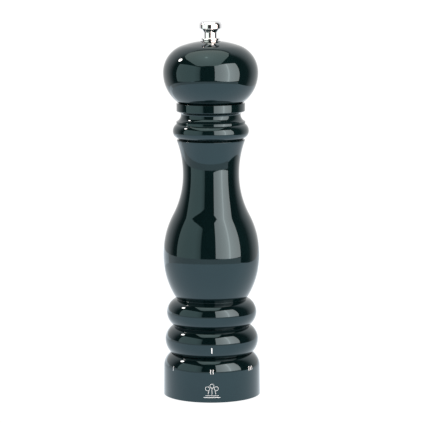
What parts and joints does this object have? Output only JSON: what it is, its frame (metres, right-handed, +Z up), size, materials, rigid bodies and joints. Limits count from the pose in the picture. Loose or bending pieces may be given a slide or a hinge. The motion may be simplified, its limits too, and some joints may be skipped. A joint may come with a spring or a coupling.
{
  "type": "pepper mill",
  "caption": "Turned peppermill: beaded baluster case, turning ball head that drives a steel burr set, screw knob, and a foot ring that sets the grind.",
  "frame": {"origin": "centre of the foot ring's underside, on the mill's own axis, where it stands on the table", "axes": "+Z up the mill's axis, -Y to the front, where the index mark is, +X to the right"},
  "size_m": [0.0582, 0.0582, 0.224],
  "materials": {
    "lacquered_wood": "high-gloss black lacquer over turned beech",
    "polished_steel": "polished stainless steel",
    "shaft_steel": "drawn steel bar, light zinc",
    "burr_steel": "case-hardened, dark oiled steel",
    "zinc_screws": "bright zinc plate",
    "spring_steel": "plain spring steel",
    "housing_plastic": "moulded black, fine texture",
    "sleeve_plastic": "moulded grey, satin",
    "bush_brass": "turned",
    "plate_zinc": "die-cast zinc alloy, satin",
    "mark_white": "printed white enamel marks"
  },
  "bodies": {
    "case": {"wooden_body": "lacquered_wood", "mechanism_housing": "housing_plastic", "housing_screws": "zinc_screws", "shaft_guide": "housing_plastic", "lower_bridge": "housing_plastic", "bridge_screws": "zinc_screws", "foot_bush": "bush_brass", "detent_leaf": "spring_steel"},
    "selector": {"base_ring": "lacquered_wood", "selector_sleeve": "sleeve_plastic", "sleeve_screws": "zinc_screws"},
    "carrier": {"burr_carrier": "sleeve_plastic", "ring_burr": "burr_steel"},
    "spindle": {"drive_shaft": "shaft_steel", "cone_burr": "burr_steel", "thrust_washer": "spring_steel", "shaft_clip": "spring_steel", "shaft_spring": "spring_steel"},
    "head": {"wooden_head": "lacquered_wood", "drive_plate": "plate_zinc", "drive_plate_screws": "zinc_screws"},
    "knob_seat": {"knob_washer": "polished_steel"},
    "knob": {"knob": "polished_steel"}
  },
  "joints": [
    {"name": "grind_adjust", "type": "hinge", "parent": "case", "child": "selector", "pos_m": [0, 0, 0], "axis": [0, 0, 1], "range_deg": [-212, 53], "deforming": ["detent_leaf"]},
    {"name": "carrier_rise", "type": "slide", "parent": "case", "child": "carrier", "axis": [0, 0, 1], "range_m": [-0.0006, 0.0024]},
    {"name": "head_turn", "type": "hinge", "parent": "case", "child": "spindle", "pos_m": [0, 0, 0.1], "axis": [0, 0, 1], "continuous": true},
    {"name": "head_lift", "type": "slide", "parent": "spindle", "child": "head", "axis": [0, 0, 1], "range_m": [0, 0.055]},
    {"name": "knob_rise", "type": "slide", "parent": "head", "child": "knob_seat", "axis": [0, 0, 1], "range_m": [0, 0.0064]},
    {"name": "knob_turn", "type": "hinge", "parent": "knob_seat", "child": "knob", "pos_m": [0, 0, 0.213], "axis": [0, 0, 1], "range_deg": [0, 2880]}
  ],
  "couplings": [
    {"joint": "grind_adjust", "follows": "carrier_rise", "rad_per_m": -1541.7},
    {"joint": "knob_turn", "follows": "knob_rise", "rad_per_m": 7854}
  ]
}
